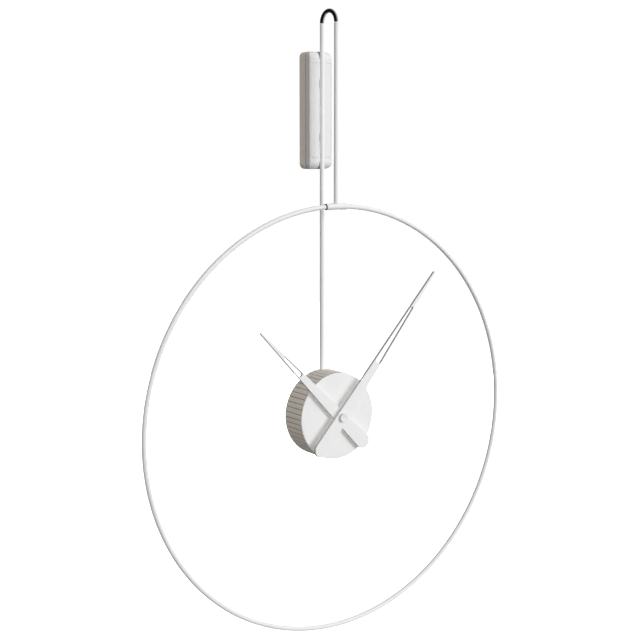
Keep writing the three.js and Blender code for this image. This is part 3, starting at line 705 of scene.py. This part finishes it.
def make_bracket():
    base = Box("wall_base")
    outline = rounded_rectangle(base.lo.x, base.hi.x, base.lo.z, base.hi.z, BRACKET_CORNER, 18)
    panel_boxes = {side_name: Box("front_panel_" + side_name) for side_name in ("left", "right")}
    make_wall_base(base, outline)
    make_cover(base, outline, panel_boxes["left"], panel_boxes["right"])
    for side_name, box in panel_boxes.items():
        make_panel(side_name, box)


# ---------- drum ----------

STAVES = 52
STAVE_CROWN = 0.35 * MM
GROOVE_DEPTH = 1.0 * MM
GROOVE_SHARE = 0.17     # of a stave's width
STAVE_SHARES = (0.0, 0.02, 0.085, 0.12, 0.25, 0.4, 0.5, 0.6, 0.75, 0.88, 0.915, 0.98)
# painted shade: the colour that stands in for the shadow down in each groove
GROOVE_PAINTED_SHADE = (0.15, 0.12, 0.09)
RIM_OVERHANG = 0.25 * MM
RIM_WALL, RIM_EDGE, RIM_FRONT_GAP = 4 * MM, 0.5 * MM, 0.5 * MM
BOSS_RADIUS, BOSS_PLACE, BOSS_LENGTH, BOSS_GAP = 5.5 * MM, 65 * MM, 24 * MM, 0.3 * MM
ROD_BLOCK_HALF, ROD_BLOCK_DEPTH = 11 * MM, 16 * MM
ROD_CLEARANCE = 0.3 * MM


def stave_radius(share, outer):
    """The rim's radius at a share of one stave's width: a low crown, falling into a V groove."""
    off = abs(share - 0.5) * 2
    if off > 1 - GROOVE_SHARE:
        fall = (GROOVE_DEPTH - STAVE_CROWN) * (off - 1 + GROOVE_SHARE) / GROOVE_SHARE
        return outer - STAVE_CROWN - fall
    return outer - STAVE_CROWN * (off / (1 - GROOVE_SHARE)) ** 2


def make_rim():
    """The grooved rim, with a boss inside it for each back screw and a block that holds the rod."""
    outer = Box("face_disc").size.x / 2 + RIM_OVERHANG
    inner = outer - RIM_WALL
    edge = RIM_EDGE
    back, front = drum_box.hi.y, drum_box.lo.y + RIM_FRONT_GAP
    rows = [(front, None), (front, 1.0)]    # (y, share of the edge cut off), or None inside
    for i in range(1, 4):
        a = i / 3 * TAU / 4
        rows.append((front + edge * (1 - math.cos(a)), 1 - math.sin(a)))
    for i in range(0, 4):
        a = (1 - i / 3) * TAU / 4
        rows.append((back - edge * (1 - math.cos(a)), 1 - math.sin(a)))
    rows.append((back, None))
    rings = []
    for y, cut in rows:
        ring = []
        for stave in range(STAVES):
            for share in STAVE_SHARES:
                angle = TAU * (stave + share) / STAVES
                radius = inner if cut is None else stave_radius(share, outer) - edge * cut
                ring.append(HUB + Vector((math.sin(angle) * radius, y, math.cos(angle) * radius)))
        rings.append(ring)
    rim = grid_solid("grooved_rim", rings, wrap_rows=True)

    plate = Box("back_plate")
    boss_front, boss_back = plate.lo.y - BOSS_LENGTH, plate.lo.y - BOSS_GAP
    boss = [(0, boss_front), (BOSS_RADIUS, boss_front), (BOSS_RADIUS, boss_back), (0, boss_back)]
    inside = []
    for index in (1, 2, 3):
        screw = Box("back_plate_screw_%d" % index)
        towards = Vector((screw.mid.x, 0, screw.mid.z - HUB.z)).normalized()
        inside.append(turned("boss", boss, "Y", HUB + towards * BOSS_PLACE, 32))
    rod = Box("rear_rod")
    foot = rod.lo.z - 2 * MM
    inside.append(block(
        "rod_block",
        (-ROD_BLOCK_HALF, boss_back - ROD_BLOCK_DEPTH, foot),
        (ROD_BLOCK_HALF, boss_back, HUB.z + inner + 2 * MM),
    ))
    combine(rim, inside, "UNION")
    half = rod.size.x / 2 + ROD_CLEARANCE
    outline = rounded_rectangle(-half, half, -half, 20 * MM, half * 0.99, 10)
    way = slab("rod_way", [outline], 0, 80 * MM)
    way.data.transform(
        Matrix.Translation((0, rod.mid.y, foot + 1 * MM)) @ Matrix.Rotation(math.radians(90), 4, "X")
        @ Matrix.Scale(-1, 4, (0, 0, 1))
    )
    combine(rim, [way], "DIFFERENCE")
    clear = outer - STAVE_CROWN - 0.1 * MM
    # painted shade in the rim's grooves, darker nearer the axis
    paint_shade_towards_axis(TAUPE_WITH_GROOVE_SHADE, HUB, outer - 0.8 * MM, clear, GROOVE_PAINTED_SHADE)
    place(rim, CLOCK, "taupe_body", TAUPE_WITH_GROOVE_SHADE, "drum_rim", smooth=28)


def make_face():
    """The white front: a disc with a rounded rim, and a skirt that goes inside the drum."""
    box = Box("face_disc")
    outer, hole, edge = box.size.x / 2, 4.3 * MM, 1.4 * MM
    front = box.lo.y
    rim_back, disc_back = front + 1.7 * MM, front + 3 * MM
    skirt = outer - 4.0 * MM
    skirt_inside = skirt - 3 * MM
    profile = [(hole, front + 0.2 * MM), (hole + 0.2 * MM, front), (hole + 1.5 * MM, front)]
    profile.append((outer - edge - 2 * MM, front))
    profile += rounded_edge(outer, front, edge)
    profile += [(outer, rim_back - 0.2 * MM), (outer - 0.2 * MM, rim_back), (skirt, rim_back)]
    profile += [(skirt, box.hi.y), (skirt_inside, box.hi.y)]
    profile += [(skirt_inside, disc_back), (hole, disc_back)]
    piece = turned("white_face", profile, "Y", HUB, 160)
    place(piece, CLOCK, "white_lacquer", WHITE, "face_disc")


def make_back_plate():
    """The back, with a round-ended slot for the rod at its top and a window over the movement."""
    box = Box("back_plate")
    radius = box.size.x / 2
    slot_half, slot_foot = 4.6 * MM, Box("rear_rod").lo.z - 1 * MM
    window_half, window_corner = 31 * MM, 4 * MM
    start = math.asin(slot_half / radius)
    steps = 140
    outline = []
    for i in range(steps + 1):
        angle = start + (TAU - 2 * start) * i / steps
        outline.append((radius * math.sin(angle), HUB.z + radius * math.cos(angle)))
    for i in range(13):
        angle = -TAU / 4 - math.pi * i / 12
        outline.append((slot_half * math.sin(angle), slot_foot + slot_half * (1 + math.cos(angle))))
    window = rounded_rectangle(
        -window_half, window_half, HUB.z - window_half, HUB.z + window_half, window_corner, 8,
    )
    piece = slab("drum_back", [outline, window], box.lo.y, box.hi.y, edge=0.4 * MM)
    place(piece, CLOCK, "taupe_body", TAUPE, "back_plate")


def cross_screw(name, node):
    """A pan-head screw along Y with a cross recess in its head, and a plain shank."""
    box = Box(node)
    radius = max(box.size.x, box.size.z) / 2
    shank, chamfer = radius * 0.52, 0.3 * MM
    end, top = box.lo.y, box.hi.y
    head_height = 2.0 * MM
    under_head, dome = top - head_height, head_height * 0.7
    profile = [(0, end), (shank - chamfer, end), (shank, end + chamfer), (shank, under_head)]
    profile.append((radius, under_head))
    for i in range(6):
        a = i / 6 * TAU / 4
        profile.append((radius * math.cos(a) * 0.97 + 0.1 * MM, top - dome * (1 - math.sin(a))))
    profile.append((0, top))
    screw = turned(name, profile, "Y", Vector((box.mid.x, 0, box.mid.z)), 32)
    arm, half, depth = radius * 0.5, 0.45 * MM, 1.2 * MM
    for a, b in ((arm, half), (half, arm)):
        lo = (box.mid.x - a, top - depth, box.mid.z - b)
        hi = (box.mid.x + a, top + 1 * MM, box.mid.z + b)
        combine(screw, [block("arm", lo, hi)], "DIFFERENCE")
    place(screw, CLOCK, "zinc", ZINC, node)


# ---------- hands ----------

HAND_EDGE = 0.3 * MM


def hand_loops(length, tail, hub, tip, slot, rim, bore):
    """A tapered hand that points up from its hub: round tail and tip, an open window, a bore.
    hub and tip are half widths, slot the window's two ends, and rim the width beside it."""
    def half_width(s):
        return hub + (tip - hub) * s / length

    tail_radius = half_width(hub - tail)
    tail_centre = tail_radius - tail
    outline = []
    for i in range(13):
        a = math.pi * i / 12
        outline.append((tip * math.cos(a), length - tip + tip * math.sin(a)))
    for i in range(33):
        a = math.pi * (1 + i / 32)
        outline.append((tail_radius * math.cos(a), tail_centre + tail_radius * math.sin(a)))
    near, far = slot
    near_half, far_half = half_width(near) - rim, half_width(far) - rim
    near_round, far_round = 3.6 * MM, 1.2 * MM
    quarter = TAU / 4
    window = arc(near_half - near_round, near + near_round, near_round, 0, -quarter, 8)
    window += arc(near_round - near_half, near + near_round, near_round, 3 * quarter, 2 * quarter, 8)
    window += arc(far_round - far_half, far - far_round, far_round, 2 * quarter, quarter, 5)
    window += arc(far_half - far_round, far - far_round, far_round, quarter, 0, 5)
    return [outline, window, circle(0, 0, bore, 32)]


def make_hand(name, node, body, angle, length, tail, hub, tip, slot, rim, bore):
    box = Box(node)
    loops = hand_loops(length, tail, hub, tip, slot, rim, bore)
    piece = slab(name, loops, box.lo.y, box.hi.y, HAND_EDGE)
    piece.data.transform(Matrix.Translation(HUB) @ Matrix.Rotation(math.radians(angle), 4, "Y"))
    # the side walls take the darker grey, as painted shade
    place(piece, body, "white_lacquer", WHITE, node, walls=SIDE_WALL_SHADE)


def make_hands():
    make_hand(
        "hour_hand_blade", "hour_hand", "hour_hand", -45.2,
        length=225 * MM, tail=82 * MM, hub=10.6 * MM, tip=1.2 * MM,
        slot=(113 * MM, 162 * MM), rim=1.6 * MM, bore=2.9 * MM,
    )
    make_hand(
        "minute_hand_blade", "minute_hand", "minute_hand", 39.8,
        length=314 * MM, tail=81 * MM, hub=11.3 * MM, tip=1.4 * MM,
        slot=(116 * MM, 236 * MM), rim=1.7 * MM, bore=1.3 * MM,
    )


def make_hub_cap():
    """The cap on the minute hand: a rounded rim and a shallow dish in its front."""
    radius, front, back = hub_cap_box.size.x / 2, hub_cap_box.lo.y, hub_cap_box.hi.y
    dish, slope, dish_depth = 6.0 * MM, 2.0 * MM, 0.6 * MM
    profile = [(0, front + dish_depth), (dish - slope, front + dish_depth), (dish, front)]
    profile += rounded_edge(radius, front, 0.9 * MM)
    profile += [(radius, back - 0.2 * MM), (radius - 0.2 * MM, back), (0, back)]
    piece = turned("hub_cap_disc", profile, "Y", HUB, 96)
    # the cap's front takes the darker copy of the white, as painted shade
    # the cap's side walls take the darker grey, as painted shade
    place(piece, "minute_hand", "white_lacquer", SHADED_WHITE, "hub_cap", walls=SIDE_WALL_SHADE)


# ---------- movement, seen through the back window ----------

def make_setting_knob():
    """A knurled wheel with a screwdriver slot. Its edge is small, as the knurl has no room for more."""
    knob = Box("setting_knob")
    teeth, knurl_depth = 30, 0.45 * MM
    slot_half, slot_depth, slot_reach = 0.5 * MM, 0.8 * MM, 3.4 * MM
    loop = []
    for i in range(teeth * 4):
        angle = TAU * i / (teeth * 4)
        radius = knob.size.x / 2 - (0, 0, knurl_depth, knurl_depth)[i % 4]
        loop.append((knob.mid.x + radius * math.sin(angle), knob.mid.z + radius * math.cos(angle)))
    wheel = slab("knurled_setting_knob", [loop], knob.lo.y, knob.hi.y, edge=0.05 * MM, edge_steps=1)
    slot = block(
        "slot",
        (knob.mid.x - slot_half, knob.hi.y - slot_depth, knob.mid.z - slot_reach),
        (knob.mid.x + slot_half, knob.hi.y + 1 * MM, knob.mid.z + slot_reach),
    )
    combine(wheel, [slot], "DIFFERENCE")
    place(wheel, "setting_knob", "pale_nylon", NYLON, "setting_knob")


def make_cell():
    """The battery along X: its flat end, the sleeve rolled over both ends, and the raised button."""
    cell = Box("battery")
    radius, end, button = cell.size.y / 2, cell.lo.x, cell.hi.x
    shoulder = button - 1 * MM
    profile = [(0, end), (radius - 1.4 * MM, end), (radius - 1.1 * MM, end + 0.2 * MM)]
    profile += [(radius - 0.4 * MM, end + 0.3 * MM), (radius, end + 0.9 * MM)]
    profile += [(radius, shoulder - 0.9 * MM), (radius - 0.4 * MM, shoulder - 0.2 * MM)]
    profile += [(radius - 1.2 * MM, shoulder), (3.2 * MM, shoulder), (2.7 * MM, shoulder + 0.1 * MM)]
    profile += [(2.6 * MM, button - 0.2 * MM), (2.3 * MM, button), (0, button)]
    piece = turned("round_cell", profile, "X", Vector((0, cell.mid.y, cell.mid.z)), 64)
    place(piece, "battery", "battery_jacket", JACKET, "battery")


# The finish for each slot in the record.
CARRIED_OVER = {
    "zinc": ZINC, "steel": STEEL, "brass": BRASS, "black_plastic": BLACK_PLASTIC, "black_rubber": RUBBER_AND_SEAM_SHADE,
    "pale_nylon": NYLON, "copper_winding": COPPER, "circuit_laminate": LAMINATE, "white_lacquer": WHITE,
    "taupe_body": TAUPE, "dark_chrome": DARK_CHROME, "battery_jacket": JACKET,
}


def dress_cad_nodes():
    """Gives every CAD node its slot's finish; the hidden and small pieces keep their CAD shape."""
    for part in frame["record"]["subparts"]:
        node = frame["nodes"][part["node"]]
        node.data.materials.clear()
        node.data.materials.append(CARRIED_OVER[part["material_slot"]])


# ---------- stage, light and camera ----------

FLOOR_DROP, FLOOR_RADIUS = 1.15, 14
LAMP_DISTANCE, LAMP_AIM_UP = 9.0, 0.12
NEUTRAL, WARM = (1.0, 1.0, 1.0), (1.0, 0.955, 0.91)
BACKDROP_LEVEL = 1.05
ROOM_LEVEL, ROOM_COLOUR = 0.14, (0.97, 0.985, 1.0)
ROOM_SLOPE = (0.12, 0, 0.12)      # the room is brighter to the right and above
MIRRORED_FROM, MIRRORED_TO = -0.25, 0.45      # how far right a mirrored ray goes, out of 1
MIRRORED_DARK, MIRRORED_BRIGHT = 0.015, 1.25

VIEW_AZIMUTH, VIEW_ELEVATION, VIEW_DISTANCE = -34.32, 7.80, 2.2652
AIM_RIGHT, AIM_UP = -0.0330, 0.1775           # from the ring's centre
LENS, SENSOR = 74.69, 36


def make_stage():
    """A floor far below that glows white, for the camera only."""
    bpy.ops.mesh.primitive_circle_add(
        vertices=96, radius=FLOOR_RADIUS, fill_type="NGON", location=(0, 0, ring_box.lo.z - FLOOR_DROP),
    )
    floor = bpy.context.object
    floor.name = "studio_floor"
    paint = finish_of("pale_floor", (0.92, 0.92, 0.92), (0.90, 0.90, 0.90), 0.8, 0.05, 40, 1e-4)
    shader = paint.node_tree.nodes["Principled BSDF"]
    shader.inputs["Emission Color"].default_value = (1, 1, 1, 1)
    shader.inputs["Emission Strength"].default_value = 1.0
    floor.data.materials.append(paint)
    floor.visible_diffuse = False
    floor.visible_glossy = False
    floor.visible_shadow = False


def direction(azimuth, elevation):
    """From the clock, in degrees: azimuth from its front to the viewer's right, elevation upwards."""
    a, e = math.radians(azimuth), math.radians(elevation)
    return Vector((math.sin(a) * math.cos(e), -math.cos(a) * math.cos(e), math.sin(e)))


def softbox(name, azimuth, elevation, size, strength, colour=NEUTRAL):
    """A square area light aimed at the clock; strength is the share of white it gives a surface
    that faces it."""
    data = bpy.data.lights.new(name, "AREA")
    data.size = size
    data.energy = strength * (math.pi * LAMP_DISTANCE) ** 2
    data.color = colour
    light = link(name, data)
    target = Vector((0, RING_CENTRE.y, RING_CENTRE.z + LAMP_AIM_UP))
    towards = direction(azimuth, elevation)
    light.location = target + towards * LAMP_DISTANCE
    light.rotation_euler = towards.to_track_quat("Z", "Y").to_euler()
    light.visible_camera = False
    return light


def make_lights():
    """The key casts the shadows; the fills lift the left side, the back and the front, and the wide
    panel is the one lamp that polished surfaces mirror."""
    key = softbox("key", 30, 15, 4.7, 0.67)
    left = softbox("left_fill", -53, 12, 5.0, 0.45, WARM)
    left.data.use_shadow = False
    softbox("right_panel", 108, 8, 8.0, 0.22)
    back = softbox("back_fill", 146, 0, 5.0, 0.45)
    front = bpy.data.lights.new("front_fill", "SUN")
    front.energy = 0.09 * math.pi
    front.angle = math.radians(30)
    front.use_shadow = False
    sun = link("front_fill", front)
    sun.rotation_euler = direction(28, 25).to_track_quat("Z", "Y").to_euler()
    for light in (key, left, back, sun):
        light.visible_glossy = False


def make_world():
    """A white backdrop for the camera, a bright side for mirrored rays, and a dim room for the rest."""
    world = bpy.data.worlds.new("studio")
    bpy.context.scene.world = world
    world.use_nodes = True
    nodes, links = world.node_tree.nodes, world.node_tree.links
    backdrop = nodes["Background"]
    backdrop.inputs["Color"].default_value = (*NEUTRAL, 1)
    backdrop.inputs["Strength"].default_value = BACKDROP_LEVEL
    where = nodes.new("ShaderNodeTexCoord")

    room = nodes.new("ShaderNodeBackground")
    room.inputs["Color"].default_value = (*ROOM_COLOUR, 1)
    slope = nodes.new("ShaderNodeVectorMath")
    slope.operation = "DOT_PRODUCT"
    slope.inputs[1].default_value = ROOM_SLOPE
    level = nodes.new("ShaderNodeMath")
    level.operation = "ADD"
    level.inputs[1].default_value = ROOM_LEVEL
    level.use_clamp = True
    links.new(where.outputs["Generated"], slope.inputs[0])
    links.new(slope.outputs["Value"], level.inputs[0])
    links.new(level.outputs["Value"], room.inputs["Strength"])

    mirrored = nodes.new("ShaderNodeBackground")
    mirrored.inputs["Color"].default_value = (*NEUTRAL, 1)
    rightward = nodes.new("ShaderNodeSeparateXYZ")
    reflector = nodes.new("ShaderNodeMapRange")
    reflector.interpolation_type = "SMOOTHSTEP"
    reflector.inputs["From Min"].default_value = MIRRORED_FROM
    reflector.inputs["From Max"].default_value = MIRRORED_TO
    reflector.inputs["To Min"].default_value = MIRRORED_DARK
    reflector.inputs["To Max"].default_value = MIRRORED_BRIGHT
    links.new(where.outputs["Generated"], rightward.inputs["Vector"])
    links.new(rightward.outputs["X"], reflector.inputs["Value"])
    links.new(reflector.outputs["Result"], mirrored.inputs["Strength"])

    path = nodes.new("ShaderNodeLightPath")
    unseen = nodes.new("ShaderNodeMixShader")
    links.new(path.outputs["Is Glossy Ray"], unseen.inputs["Fac"])
    links.new(room.outputs["Background"], unseen.inputs[1])
    links.new(mirrored.outputs["Background"], unseen.inputs[2])
    mix = nodes.new("ShaderNodeMixShader")
    links.new(path.outputs["Is Camera Ray"], mix.inputs["Fac"])
    links.new(unseen.outputs["Shader"], mix.inputs[1])
    links.new(backdrop.outputs["Background"], mix.inputs[2])
    links.new(mix.outputs["Shader"], nodes["World Output"].inputs["Surface"])


def make_camera():
    aim = Vector((AIM_RIGHT, RING_CENTRE.y, RING_CENTRE.z + AIM_UP))
    towards = direction(VIEW_AZIMUTH, VIEW_ELEVATION)
    data = bpy.data.cameras.new("camera")
    data.lens, data.sensor_width = LENS, SENSOR
    data.clip_start, data.clip_end = 0.05, 60
    camera = link("camera", data)
    camera.location = aim + towards * VIEW_DISTANCE
    camera.rotation_euler = (-towards).to_track_quat("-Z", "Y").to_euler()
    bpy.context.scene.camera = camera


make_camera()
dress_cad_nodes()
make_ring()
make_sleeve()
make_hairpin()
make_bracket()
make_rim()
make_face()
make_back_plate()
for screw_index in (1, 2, 3):
    cross_screw("back_screw_%d" % screw_index, "back_plate_screw_%d" % screw_index)
for screw_index in (1, 2):
    cross_screw("clamp_screw_%d" % screw_index, "rod_clamp_screw_%d" % screw_index)
make_hands()
make_hub_cap()
make_setting_knob()
make_cell()
make_stage()
make_lights()
make_world()
bpy.context.scene.view_settings.view_transform = "Standard"
